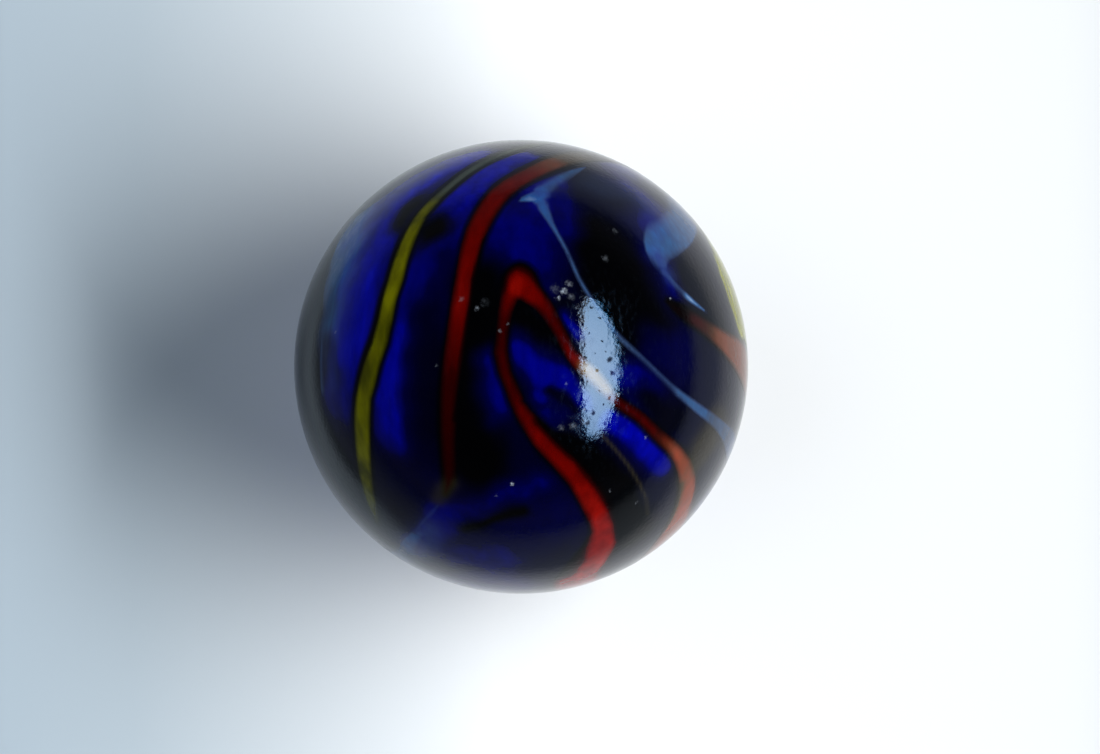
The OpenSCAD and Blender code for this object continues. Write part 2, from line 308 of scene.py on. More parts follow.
# Where a colour fills a little more than its outline: paths with half their width in mm
FILLED = {
    "red_gap": (
        # the tip of the fold
        ((-1, 21, 0), (-1, 18.5, 0.12), (0, 16, 0.3), (3, 15, 0.33), (5, 14, 0.26)),
        # where its right leg passes under the window's reflection, widened for the painted highlight
        # there
        ((12, 1, 0.12), (14.5, -1.5, 0.26), (18.5, -5, 0.32), (22, -8.5, 0.28), (25, -11, 0.16)),
        # its left leg, in two parts
        ((-4, 8.5, 0.1), (-4.5, 5, 0.2), (-5, 0.5, 0.22), (-4, -4, 0.22), (-2.5, -7.5, 0.23),
         (-1, -11, 0.24)),
        ((0, -13.5, 0.26), (1.5, -16, 0.28), (5.5, -21.5, 0.32), (11, -26.5, 0.35),
         (17, -32, 0.37), (22.5, -38, 0.39), (28.5, -44, 0.39), (35, -51, 0.4), (40, -58.5, 0.4),
         (46.5, -65, 0.38)),
        # the low end of its right leg
        ((59, -32, 0.2), (64, -35.5, 0.26), (68.5, -39, 0.28), (74.5, -43, 0.3), (91, -48, 0.3)),
    ),
    "yellow_gap": (
        # towards the top of the ball, on the right
        ((77, 29.5, 0.1), (76, 26, 0.5), (76, 21.5, 0.8), (76.5, 16.5, 0.85), (78, 11, 0.75),
         (84, 6.5, 0.2)),
        # the middle of the long ribbon
        ((-33.5, 37, 0.31), (-34.5, 30.5, 0.35), (-35, 25, 0.37), (-35, 19.5, 0.38),
         (-36, 14.5, 0.385), (-36.5, 9, 0.4), (-37.5, 4, 0.41), (-39.5, -0.5, 0.42),
         (-41.5, -5.5, 0.42), (-44, -10.5, 0.4)),
    ),
    "wisp_gap": (
        # the tip of the fine wisp, where it is folded over
        ((-0.5, 42.5, 0.06), (1.5, 43.5, 0.19), (5, 44, 0.25), (8, 45.5, 0.22), (8.5, 43, 0.22),
         (8, 40, 0.2), (9, 37, 0.15), (10, 34, 0.1)),
    ),
}

# Small chips of pale broken glass, their brightness partly a painted glint: [longitude, latitude, radius
# in mm, brightness]
CHIPS_AND_GLINTS = [
    (11.3, 16.0, 0.12, 0.5),
    (9.7, 14.2, 0.09, 0.45),
    (12.8, 17.9, 0.12, 0.2),
    (13.1, 14.5, 0.12, 0.12),
    (9.0, 16.5, 0.16, 0.07),
    (14.2, 11.7, 0.06, 0.2),
    (-2.4, -33.3, 0.07, 0.7),
    (-7.4, -36.8, 0.05, 0.15),
    (28.0, -35.1, 0.06, 0.35),
    (39.9, -38.5, 0.06, 0.15),
    (42.1, 14.8, 0.05, 0.35),
    (-10.9, 11.6, 0.08, 0.3),
    (-15.1, 14.0, 0.1, 0.09),
    (-8.9, 12.9, 0.14, 0.05),
    (-3.0, 7.6, 0.05, 0.2),
    (-4.9, 5.8, 0.06, 0.16),
    (-53.9, 6.9, 0.07, 0.35),
    (-21.2, -2.4, 0.06, 0.12),
    (29.4, 33.3, 0.1, 0.1),
    (23.8, 24.9, 0.12, 0.1),
    (35.3, -20.1, 0.05, 0.2),
    (16.3, 6.4, 0.07, 0.45),
    (25.3, -9.5, 0.07, 0.3),
    (10.7, -18.2, 0.1, 0.13),
    (13.8, -17.7, 0.12, 0.15),
    (16.9, -16.6, 0.1, 0.16),
    (16.4, -13.6, 0.05, 0.4),
    (11.5, -7.2, 0.05, 0.2),
]

# Pits that dull the bright reflection: [longitude, latitude, radius in mm, depth of the dulling]
PITS = [
    (15.4, 1.5, 0.06, 1),
    (16.2, -0.7, 0.06, 1),
    (22.7, -1.1, 0.1, 1),
    (23.3, -4.3, 0.08, 1),
    (19.3, -3.9, 0.055, 1),
    (17.3, 5.5, 0.05, 1),
    (20.7, 3.5, 0.05, 1),
    (20.1, 9.3, 0.05, 1),
    (21.7, 0.8, 0.05, 1),
    (18.8, 0.5, 0.04, 1),
    (16.8, -6.6, 0.05, 1),
    (22.9, -10.5, 0.06, 1),
    (18.9, -14.3, 0.08, 1),
    (21.4, -12.3, 0.05, 1),
    (20.1, -8.8, 0.045, 1),
    (17.5, -17.1, 0.08, 1),
    (18.1, 11.8, 0.05, 1),
    (22.5, -17.0, 0.06, 1),
]

# Every mask that the glass reads, one number at each vertex
MASKS = (
    "blue", "film", "wisp", "red", "yellow", "fade_and_glare", "red_gap", "yellow_gap", "wisp_gap", "olive",
)
# The CAD node whose outline each gap is measured from
OUTLINED = {
    "red_gap": "red_ribbons",
    "yellow_gap": "yellow_ribbons",
    "wisp_gap": "pale_wisps",
}
# How far each colour spreads outside its outline, and how far inside it is full, in mm
SOFT_EDGES = {
    "red_gap": (0.05, 0.27),
    "yellow_gap": (0.02, 0.24),
    "wisp_gap": (0.03, 0.14),
}

# Painted shade beside a ribbon starts at this gap in mm, which is inside its outline: the glow there is
# darkened to black
PAINTED_SHADE_START = -0.06
# Waves that sway the edges of what is painted: how fast each runs, in radians to one radius
# of the ball, and how far it sways, as a share of that radius
WAVES = ((23.0, 0.012), (41.0, 0.007), (67.0, 0.004))
WAVE_LAG = 1.7

# A vertex of the CAD model that is this near to the surface of the ball is on its skin
SKIN_NEARNESS = 0.01 * MM
# The middle of an edge between two such vertices lies less deep than this
SKIN_DEPTH = 0.1 * MM
# The skin of a ribbon is cut in rounds, each edge in two while it is longer than this
SKIN_EDGE = 0.14 * MM
SKIN_ROUNDS = 4
MERGE_DISTANCE = 0.0005 * MM
# An outline is measured from points this far apart, and no ribbon is so wide that its
# middle is further inside than the second number, in mm
OUTLINE_STEP = 0.03 * MM
DEEPEST_INSIDE = 1.5

# Patterns in the glass, as marks to the metre worked out from marks to the millimetre
RAGGED_MARKS = 9 / MM  # broken edges of chips and pits, 0.11 mm
WEAR_MARKS = 0.5 / MM  # more and less worn places, 2 mm
MOTTLE_MARKS = 6.5 / MM  # dull spots in the polish, 0.15 mm
STREAK_MARKS = 2.2 / MM  # streaks of colour, 0.45 mm
THREAD_MARKS = 4.5 / MM  # threads in the pale film, 0.22 mm
# How densely they lie along Y, the way that the glass was drawn out; wear isn't drawn out
WEAR_DRAWN = 1.0
MOTTLE_DRAWN = 0.45
STREAK_DRAWN = 0.3
THREAD_DRAWN = 0.12
# How far the broken edge of a chip or a pit strays
RAGGED_REACH = 0.2 * MM
# A chip or a pit fades out over this many times its radius
SPOT_FADE = 1.5

# Soda-lime glass is 1.5; this low value keeps the dark glass deep, as it is in bright light
GLASS_IOR = 1.3
# The roughness of polished and of worn glass, and what dull spots, pits and chips add to it
POLISHED = 0.03
WORN = 0.14
DULL_ADDS = 0.09
PIT_ADDS = 0.7
CHIP_ADDS = 0.4

# The card under the marble: its span along X and its colours over that, darker and bluer at the left as
# painted shade.
# Away from the middle, with each step along X counted as a shorter one, it turns to the last colour, a
# grey of painted shade.
CARD_LEFT = -24 * MM
CARD_RIGHT = 22 * MM
CARD_COLOURS_PAINTED_SHADE = (
    (0.0, "#737e86"), (0.115, "#cad8e2"), (0.217, "#cedae2"), (0.5, "#fdfdfd"), (1.0, "#d7d7d7"),
)
CARD_X_SHARE = 0.73
CARD_DIMS_FROM = 14 * MM
CARD_DIMS_TO = 23 * MM
CARD_FAR_PAINTED_SHADE = "#959ba1"
# The dim room: its colours by how steeply one looks up, as the Z of that direction
ROOM_COLOURS = ((0.06, "#505256"), (0.3, "#27292d"), (0.6, "#161819"))

# The tall window on the right, in metres: its middle, its width and height, the place that
# its light falls on, and how far its top leans
WINDOW_PLACE = (0.0722, -0.006, 0.0868)
WINDOW_SIZE = (0.036, 0.142)
WINDOW_TARGET = (0.024, 0, -BALL_RADIUS)
WINDOW_LEAN = -0.07
WINDOW_COLOUR = (0.96, 0.99, 1)
GLARE_COLOUR = (0, 0.4, 1)
# The broad light comes from the left and above, soft as from a bright wall
FILL_FROM = (-1, 0.1, 1)
FILL_WIDTH = math.radians(70)
FILL_COLOUR = (0.85, 0.96, 1.1)

# The camera stands almost straight above; its lens and its sensor are in millimetres
CAMERA_ELEVATION = math.radians(87)
CAMERA_DISTANCE = 0.3
CAMERA_LENS = 278.7
CAMERA_SENSOR = 36
CAMERA_NEAR = 0.01
CAMERA_RIGHT = 0.00102
CAMERA_UP = -0.00036


def ball_settings():
    """The ball's settings, as the panel shows them."""
    return bpy.context.scene.marble_ball


def glass_settings():
    """The colours of the glass, as the panel shows them."""
    return bpy.context.scene.marble_glass


def stage_settings():
    """The stage's settings, as the panel shows them."""
    return bpy.context.scene.marble_stage


def directions(places):
    """Unit vectors from the middle of the ball to [longitude, latitude] places."""
    lon, lat = np.radians(np.array(places, float)[:, :2]).T
    return np.stack([np.sin(lon) * np.cos(lat), np.sin(lat), np.cos(lon) * np.cos(lat)], 1)


def distance_to_path(points, path):
    """How far each unit vector lies outside a path's painted width, in mm of the ball."""
    stops = directions(path)
    widths = [stop[2] if len(stop) > 2 else 0 for stop in path]
    best = np.full(len(points), 1e9)
    for i in range(max(1, len(path) - 1)):
        start, end = stops[i], stops[min(i + 1, len(path) - 1)]
        along = end - start
        length_squared = max(along @ along, 1e-12)
        share = np.clip((points - start) @ along / length_squared, 0, 1)
        away = np.linalg.norm(points - start - share[:, None] * along, axis=1) * BALL_RADIUS / MM
        last = widths[min(i + 1, len(path) - 1)]
        best = np.minimum(best, away - widths[i] - share * (last - widths[i]))
    return best


def painted(points, base, strokes):
    """The level at each unit vector after each stroke is laid over those before it."""
    level = np.full(len(points), float(base))
    for path, softness, strength in strokes:
        away = np.maximum(distance_to_path(points, path), 0)
        cover = np.exp(-((away / softness) ** 2))
        level += (strength - level) * cover
    return level


def wavered(points):
    """The unit vectors moved a little to and fro, so that what is painted isn't too smooth."""
    waves = np.zeros_like(points)
    for turn, (rate, sway) in enumerate(WAVES):
        waves += sway * np.sin(rate * np.roll(points, turn + 1, axis=1) + WAVE_LAG * turn)
    moved = points + waves
    return moved / np.linalg.norm(moved, axis=1)[:, None]


class Outline:
    """The outline of a CAD node where it meets the skin of the ball."""

    def __init__(self, node):
        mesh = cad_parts[node].data
        places = [tuple(round(c, 8) for c in v.co) for v in mesh.vertices]
        first = {}
        merged = [first.setdefault(place, len(first)) for place in places]
        corners = list(first)
        skin = []
        uses = {}
        for face in mesh.polygons:
            ids = [merged[v] for v in face.vertices]
            if all(Vector(corners[i]).length > BALL_RADIUS - SKIN_NEARNESS for i in ids):
                skin.append(ids)
                for a, b in zip(ids, ids[1:] + ids[:1]):
                    key = (min(a, b), max(a, b))
                    uses[key] = uses.get(key, 0) + 1
        rim = [key for key, count in uses.items() if count == 1]
        samples = []
        for a, b in rim:
            start, end = Vector(corners[a]), Vector(corners[b])
            steps = max(1, math.ceil((end - start).length / OUTLINE_STEP))
            samples += [start.lerp(end, k / steps) for k in range(steps)]
        self.rim = KDTree(len(samples))
        for i, sample in enumerate(samples):
            self.rim.insert(sample, i)
        self.rim.balance()
        self.skin = BVHTree.FromPolygons([Vector(c) for c in corners], skin)

    def distance(self, points):
        """How far each unit vector is outside the outline, in mm; negative is inside."""
        found = np.empty(len(points))
        middle = Vector((0, 0, 0))
        for i, point in enumerate(points):
            aim = Vector(point)
            away = self.rim.find(aim * BALL_RADIUS)[2] / MM
            inside = away < DEEPEST_INSIDE and self.skin.ray_cast(middle, aim)[0] is not None
            found[i] = -away if inside else away
        return found


OUTLINES = {}


def outline(node):
    """A CAD node's outline, worked out once."""
    if node not in OUTLINES:
        OUTLINES[node] = Outline(node)
    return OUTLINES[node]


def vertex_places(piece):
    """The vertices of a piece as rows of x, y, z."""
    places = np.empty(len(piece.data.vertices) * 3)
    piece.data.vertices.foreach_get("co", places)
    return places.reshape(-1, 3)


def set_vertex_places(piece, places):
    """Moves the vertices of a piece."""
    piece.data.vertices.foreach_set("co", np.asarray(places, np.float32).ravel())
    piece.data.update()


def work_on(piece):
    """Makes a piece the only one selected, and active."""
    bpy.ops.object.select_all(action="DESELECT")
    piece.select_set(True)
    bpy.context.view_layer.objects.active = piece


def linear(hex_colour):
    """An sRGB hex colour as the linear colour that a shader takes."""
    parts = [int(hex_colour[i : i + 2], 16) / 255 for i in (1, 3, 5)]
    return [p / 12.92 if p <= 0.04045 else ((p + 0.055) / 1.055) ** 2.4 for p in parts] + [1.0]


def add_node(tree, kind, inputs=None, stops=None, **settings):
    """Adds a node with its settings, and fills its inputs with values, outputs or whole nodes.

    A whole node stands for the first of its outputs that is in use. A ramp's stops are
    places with colours, linear or in hex.
    """
    made = tree.nodes.new(kind)
    for name, value in settings.items():
        setattr(made, name, value)
    for name, value in (inputs or {}).items():
        if isinstance(value, bpy.types.Node):
            value = next(output for output in value.outputs if output.enabled)
        if isinstance(value, bpy.types.NodeSocket):
            tree.links.new(value, made.inputs[name])
        else:
            made.inputs[name].default_value = value
    if stops:
        ramp = made.color_ramp.elements
        while len(ramp) < len(stops):
            ramp.new(0.5)
        for stop, (place, colour) in zip(ramp, stops):
            stop.position = place
            stop.color = linear(colour) if isinstance(colour, str) else colour
    return made


def empty_material(name):
    """A new material with no nodes in it yet."""
    material = bpy.data.materials.new(name)
    material.use_nodes = True
    material.node_tree.nodes.clear()
    return material


def drawn_pattern(tree, marks, drawn, detail, shown, strengths):
    """Uneven marks, drawn out along Y, that vary from one strength to the other."""
    place = add_node(tree, "ShaderNodeTexCoord").outputs["Object"]
    pulled = add_node(tree, "ShaderNodeMapping", {"Vector": place, "Scale": (1.0, drawn, 1.0)})
    noise = add_node(
        tree, "ShaderNodeTexNoise", {"Vector": pulled, "Scale": marks, "Detail": detail}
    )
    return add_node(
        tree, "ShaderNodeMapRange",
        {
            "Value": noise, "From Min": shown[0], "From Max": shown[1],
            "To Min": strengths[0], "To Max": strengths[1],
        },
    )


def worn_skin_and_glints():
    """Chips, pits and fine scuffs of a handled glass ball, shared by its four glasses.

    Real scuffs are a few hundredths of a millimetre wide, too fine to show, so they are
    drawn 0.16 mm long. They break up the edges of a reflection, each pit is a dull dot in
    it, and each chip is a rough pale dot of broken glass whose brightness is partly a painted glint.
    """
    ready = bpy.data.node_groups.get("worn glass skin and glints")
    if ready:
        return ready
    skin = bpy.data.node_groups.new("worn glass skin and glints", "ShaderNodeTree")
    for name in ("Chips", "Roughness", "Height"):
        skin.interface.new_socket(name, in_out="OUTPUT", socket_type="NodeSocketFloat")
    settings = ball_settings()
    place = add_node(skin, "ShaderNodeTexCoord").outputs["Object"]

    # chips and pits, each a soft dot with a broken edge, and the strongest one counts
    ragged = add_node(skin, "ShaderNodeTexNoise", {"Vector": place, "Scale": RAGGED_MARKS})
    shift = add_node(
        skin, "ShaderNodeVectorMath",
        {0: ragged.outputs["Color"], 1: (0.5, 0.5, 0.5)}, operation="SUBTRACT",
    )
    moved = add_node(
        skin, "ShaderNodeVectorMath", {0: shift, 1: (RAGGED_REACH,) * 3, 2: place},
        operation="MULTIPLY_ADD",
    )
    marks = {"chips_and_glints": 0.0, "pits": 0.0}
    for kind, spots in (("chips_and_glints", CHIPS_AND_GLINTS), ("pits", PITS)):
        for middle, (_, _, radius, strength) in zip(directions(spots) * BALL_RADIUS, spots):
            away = add_node(
                skin, "ShaderNodeVectorMath", {0: moved, 1: tuple(middle)}, operation="DISTANCE"
            )
            spot = add_node(
                skin, "ShaderNodeMapRange",
                {
                    "Value": away, "From Min": 0.0, "From Max": SPOT_FADE * radius * MM,
                    "To Min": strength, "To Max": 0.0,
                },
                interpolation_type="SMOOTHSTEP",
            )
            marks[kind] = add_node(
                skin, "ShaderNodeMath", {0: spot, 1: marks[kind]}, operation="MAXIMUM"
            )

    # the painted glint of a chip is uneven, from grain to grain
    grains = add_node(
        skin, "ShaderNodeMapRange",
        {"Value": ragged, "From Min": 0.42, "From Max": 0.58, "To Min": 0.25, "To Max": 1.2},
    )
    chips_and_glints = add_node(skin, "ShaderNodeMath", {0: marks["chips_and_glints"], 1: grains}, operation="MULTIPLY")

    # the height of the skin: fine scuffs, and the hollow of each chip
    scuffs = add_node(
        skin, "ShaderNodeTexNoise",
        {"Vector": place, "Scale": 1 / settings.scuff_size, "Detail": 3.0},
    )
    scuffed = add_node(
        skin, "ShaderNodeMath", {0: scuffs, 1: settings.scuff_depth}, operation="MULTIPLY"
    )
    height = add_node(
        skin, "ShaderNodeMath", {0: chips_and_glints, 1: -settings.chip_depth, 2: scuffed},
        operation="MULTIPLY_ADD",
    )

    # the roughness: wear, dull spots drawn out along Y, pits and chips, each added to the last
    rough = drawn_pattern(skin, WEAR_MARKS, WEAR_DRAWN, 4.0, (0.35, 0.75), (POLISHED, WORN))
    dull = drawn_pattern(skin, MOTTLE_MARKS, MOTTLE_DRAWN, 2.0, (0.48, 0.66), (0.0, DULL_ADDS))
    uneven = add_node(skin, "ShaderNodeMath", {0: rough, 1: dull}, operation="ADD")
    pitted = add_node(
        skin, "ShaderNodeMath", {0: marks["pits"], 1: PIT_ADDS, 2: uneven},
        operation="MULTIPLY_ADD",
    )
    chipped = add_node(
        skin, "ShaderNodeMath", {0: chips_and_glints, 1: CHIP_ADDS, 2: pitted}, operation="MULTIPLY_ADD"
    )
    add_node(skin, "NodeGroupOutput", {"Chips": chips_and_glints, "Roughness": chipped, "Height": height})
    return skin


def polished_glass(name):
    """A material of rolled, fire-polished glass, glossy and with the wear of a handled ball."""
    material = empty_material(name)
    tree = material.node_tree
    skin = add_node(tree, "ShaderNodeGroup", node_tree=worn_skin_and_glints())
    colour = add_node(
        tree, "ShaderNodeMix",
        {0: skin.outputs["Chips"], 6: swirled_colour(tree), 7: glass_settings().chip},
        data_type="RGBA",
    )
    bump = add_node(
        tree, "ShaderNodeBump", {"Strength": 1.0, "Distance": 1.0, "Height": skin.outputs["Height"]}
    )
    surface = add_node(
        tree, "ShaderNodeBsdfPrincipled",
        {
            "Base Color": colour, "Roughness": skin.outputs["Roughness"],
            "IOR": GLASS_IOR, "Normal": bump,
        },
    )
    add_node(tree, "ShaderNodeOutputMaterial", {"Surface": surface})
    return material


def swirled_colour(tree):
    """The colour of the swirled glass, the same for every piece because they run together.

    Cobalt glass is black, with a painted glow of royal blue for light that comes through it.
    A pale film lies over it, the ribbons lie over both, and beside each ribbon the glow is
    darkened to black as painted shade. Faint streaks run the way that the glass was drawn out.
    """
    glass = glass_settings()
    masks = {
        name: add_node(tree, "ShaderNodeAttribute", attribute_name=name).outputs["Fac"]
        for name in MASKS
    }

    # streaks that make each colour a little stronger and weaker
    vary = drawn_pattern(tree, STREAK_MARKS, STREAK_DRAWN, 4.0, (0.3, 0.7), (0.85, 1.12))
    levels = {
        name: add_node(tree, "ShaderNodeMath", {0: masks[name], 1: vary}, operation="MULTIPLY")
        for name in ("blue", "red", "yellow")
    }

    # how fully each colour covers what is under it, from its outline inwards
    cover = {
        name: add_node(
            tree, "ShaderNodeMapRange",
            {
                "Value": masks[name], "From Min": outside, "From Max": -inside,
                "To Min": 0.0, "To Max": 1.0,
            },
            interpolation_type="SMOOTHSTEP",
        )
        for name, (outside, inside) in SOFT_EDGES.items()
    }

    # cobalt glass with its painted glow, darkened to black as painted shade beside a red or a yellow
    # ribbon
    nearest = add_node(
        tree, "ShaderNodeMath", {0: masks["red_gap"], 1: masks["yellow_gap"]}, operation="MINIMUM"
    )
    clear = add_node(
        tree, "ShaderNodeMapRange",
        {"Value": nearest, "From Min": PAINTED_SHADE_START, "From Max": ball_settings().margin / MM},
        interpolation_type="SMOOTHSTEP",
    )
    painted_glow_level = add_node(tree, "ShaderNodeMath", {0: levels["blue"], 1: clear}, operation="MULTIPLY")
    cobalt = add_node(
        tree, "ShaderNodeValToRGB", {"Fac": painted_glow_level},
        stops=[
            (0.0, "#010102"), (0.25, "#000034"), (0.5, glass.blue), (0.75, "#0004ae"),
            (1.0, "#0614f0"),
        ],
    )

    # the wisps and the film, pulled out into threads
    wisps = add_node(
        tree, "ShaderNodeMath", {0: masks["wisp"], 1: cover["wisp_gap"]}, operation="MULTIPLY"
    )
    milky = add_node(tree, "ShaderNodeMath", {0: masks["film"], 1: wisps}, operation="MAXIMUM")
    uneven = drawn_pattern(tree, THREAD_MARKS, THREAD_DRAWN, 3.0, (0.3, 0.7), (0.86, 1.14))
    film = add_node(tree, "ShaderNodeMath", {0: milky, 1: uneven}, operation="MULTIPLY")
    pale = add_node(
        tree, "ShaderNodeValToRGB", {"Fac": film},
        stops=[
            (0.0, "#405488"), (0.3, "#4c6a9c"), (0.5, glass.pale), (0.75, "#849cc0"),
            (1.0, "#c0cad8"),
        ],
    )
    clouded = add_node(tree, "ShaderNodeMix", {0: film, 6: cobalt, 7: pale}, data_type="RGBA")
    colour = add_node(
        tree, "ShaderNodeMix", {0: masks["olive"], 6: clouded, 7: glass.olive}, data_type="RGBA"
    )

    # the ribbons, red over yellow
    for name, colours, faded in (
        ("yellow", ("#040402", "#1e1c00", glass.yellow, "#868400", "#d8cc40"), glass.faded_yellow),
        ("red", ("#050000", "#2a0000", glass.red, "#8c0c04", "#c01c0c"), glass.faded_red_and_glare),
    ):
        stops = [(k / (len(colours) - 1), shade) for k, shade in enumerate(colours)]
        full = add_node(tree, "ShaderNodeValToRGB", {"Fac": levels[name]}, stops=stops)
        ribbon = add_node(
            tree, "ShaderNodeMix", {0: masks["fade_and_glare"], 6: full, 7: faded}, data_type="RGBA"
        )
        colour = add_node(
            tree, "ShaderNodeMix", {0: cover[name + "_gap"], 6: colour, 7: ribbon}, data_type="RGBA"
        )
    return colour


def white_card():
    """Matt white card under a window, with painted shade: bluish grey at the left, white in the middle,
    light grey at the right and grey further out.
    """
    material = empty_material("matt_white_card_painted_shade")
    tree = material.node_tree
    place = add_node(tree, "ShaderNodeTexCoord").outputs["Object"]
    axes = add_node(tree, "ShaderNodeSeparateXYZ", {0: place})
    side = add_node(
        tree, "ShaderNodeMapRange",
        {"Value": axes.outputs["X"], "From Min": CARD_LEFT, "From Max": CARD_RIGHT},
    )
    card = add_node(tree, "ShaderNodeValToRGB", {"Fac": side}, stops=CARD_COLOURS_PAINTED_SHADE)

    # how far a place is from the middle, along X or along Y, whichever is more
    across = add_node(
        tree, "ShaderNodeMath", {0: axes.outputs["X"], 1: CARD_X_SHARE}, operation="MULTIPLY"
    )
    left_right = add_node(tree, "ShaderNodeMath", {0: across}, operation="ABSOLUTE")
    near_far = add_node(tree, "ShaderNodeMath", {0: axes.outputs["Y"]}, operation="ABSOLUTE")
    away = add_node(tree, "ShaderNodeMath", {0: left_right, 1: near_far}, operation="MAXIMUM")
    beyond = add_node(
        tree, "ShaderNodeMapRange",
        {"Value": away, "From Min": CARD_DIMS_FROM, "From Max": CARD_DIMS_TO},
        interpolation_type="SMOOTHSTEP",
    )
    # painted shade: the card turns grey further from the middle
    painted_floor_shade = add_node(
        tree, "ShaderNodeMix", {0: beyond, 6: card, 7: linear(CARD_FAR_PAINTED_SHADE)}, data_type="RGBA"
    )
    matt = add_node(
        tree, "ShaderNodeBsdfPrincipled",
        {"Base Color": painted_floor_shade, "Roughness": 0.9, "Specular IOR Level": 0.1},
    )
    add_node(tree, "ShaderNodeOutputMaterial", {"Surface": matt})
    return material


def set_masks(piece):
    """Sets every mask that the swirled glass reads, at each vertex of a piece."""
    points = vertex_places(piece)
    points /= np.linalg.norm(points, axis=1)[:, None]
    soft_points = wavered(points)
    values = {
        "blue": painted(soft_points, *PAINTED_GLOW),
        "film": painted(soft_points, *FILM),
        "wisp": painted(points, *WISP),
        "red": painted(points, *RED),
        "yellow": painted(points, *YELLOW),
        "fade_and_glare": painted(points, *FADE_AND_GLARE),
        "olive": painted(points, *OLIVE),
    }
    for name, node in OUTLINED.items():
        values[name] = outline(node).distance(points)
        for path in FILLED[name]:
            values[name] = np.minimum(values[name], distance_to_path(points, path))
    for name in MASKS:
        mask = piece.data.attributes.new(name, "FLOAT", "POINT")
        mask.data.foreach_set("value", values[name].astype(np.float32))


def dress(piece, node, material_name):
    """Paints a finished piece, and puts it in the place of its CAD node."""
    set_masks(piece)
    piece.data.materials.clear()
    piece.data.materials.append(polished_glass(material_name))
    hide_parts(node)
    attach(piece, "root")


class MARBLE_PG_ball(bpy.types.PropertyGroup):
    """Sizes of the ball and of the wear in its skin."""

    diameter: FloatProperty(
        name="Diameter", description="Across the ball", default=2 * BALL_RADIUS, min=0.01, max=0.03,
        unit="LENGTH", precision=4,
    )
    flush_gap: FloatProperty(
        name="Flush gap", description="How far the ribbons stand proud of the ball",
        default=0.002 * MM, min=0.001 * MM, max=0.02 * MM, unit="LENGTH", precision=6,
    )
    cuts: IntProperty(
        name="Cuts", description="How finely each face of the ball is cut", default=11, min=3, max=11
    )
    # the reach of the painted shade, black, beside a ribbon
    margin: FloatProperty(
        name="Dark margin", description="Reach of the black edge beside a ribbon",
        default=0.22 * MM, min=0.05 * MM, max=1 * MM, unit="LENGTH", precision=5,
    )
    scuff_size: FloatProperty(
        name="Scuff size", description="Length of the fine scuffs", default=0.16 * MM,
        min=0.05 * MM, max=1 * MM, unit="LENGTH", precision=5,
    )
    scuff_depth: FloatProperty(
        name="Scuff depth", description="Height of the fine scuffs", default=0.005 * MM,
        min=0.0, max=0.02 * MM, unit="LENGTH", precision=6,
    )
    chip_depth: FloatProperty(
        name="Chip depth", description="Depth of a chip", default=0.006 * MM,
        min=0.0, max=0.05 * MM, unit="LENGTH", precision=6,
    )


class MARBLE_PG_glass(bpy.types.PropertyGroup):
    """Colours of the glass; those of cobalt, red, yellow and pale glass are at middle strength."""

    # the middle colour of the painted glow of light through the cobalt glass
    blue: FloatVectorProperty(
        name="Cobalt blue", description="Cobalt glass with some light behind it",
        default=linear("#000170"), size=4, min=0, max=1, subtype="COLOR",
    )
    red: FloatVectorProperty(
        name="Red", description="Red glass of the ribbons",
        default=linear("#5c0200"), size=4, min=0, max=1, subtype="COLOR",
    )
    yellow: FloatVectorProperty(
        name="Yellow", description="Olive-yellow glass of the ribbons",
        default=linear("#484800"), size=4, min=0, max=1, subtype="COLOR",
    )
    pale: FloatVectorProperty(
        name="Pale", description="Milky glass of the wisps",
        default=linear("#3c74b0"), size=4, min=0, max=1, subtype="COLOR",
    )
    olive: FloatVectorProperty(
        name="Olive", description="Smoky glass of the fine thread",
        default=linear("#3a3522"), size=4, min=0, max=1, subtype="COLOR",
    )
    # also the colour of the painted highlight where a red leg passes under the window's reflection
    faded_red_and_glare: FloatVectorProperty(
        name="Faded red", description="What the red ribbons fade to",
        default=linear("#a08858"), size=4, min=0, max=1, subtype="COLOR",
    )
    faded_yellow: FloatVectorProperty(
        name="Faded yellow", description="What the yellow ribbons fade to",
        default=linear("#4a5450"), size=4, min=0, max=1, subtype="COLOR",
    )
    # pale broken glass of a chip; at the brightest chips it stands for a painted glint
    chip: FloatVectorProperty(
        name="Chip", description="Broken glass in a chip",
        default=linear("#b4bcc8"), size=4, min=0, max=1, subtype="COLOR",
    )


class MARBLE_PG_stage(bpy.types.PropertyGroup):
    """The floor and the lights."""

    floor_size: FloatProperty(
        name="Floor radius", description="Radius of the floor", default=1.5, min=0.1, max=5, unit="LENGTH"
    )
    window_light: FloatProperty(
        name="Window light", description="Brightness of the tall soft light on the right",
        default=5.9, min=0, max=30,
    )
    window_spread: FloatProperty(
        name="Window spread", description="How widely that light spreads", default=math.radians(120),
        min=0.1, max=math.pi, subtype="ANGLE",
    )
    window_glare: FloatProperty(
        name="Window glare", description="Extra brightness of that light in reflections",
        default=15.0, min=0, max=30,
    )
    fill_light: FloatProperty(
        name="Fill light", description="Brightness of the broad light from the left and above",
        default=0.9, min=0, max=10,
    )


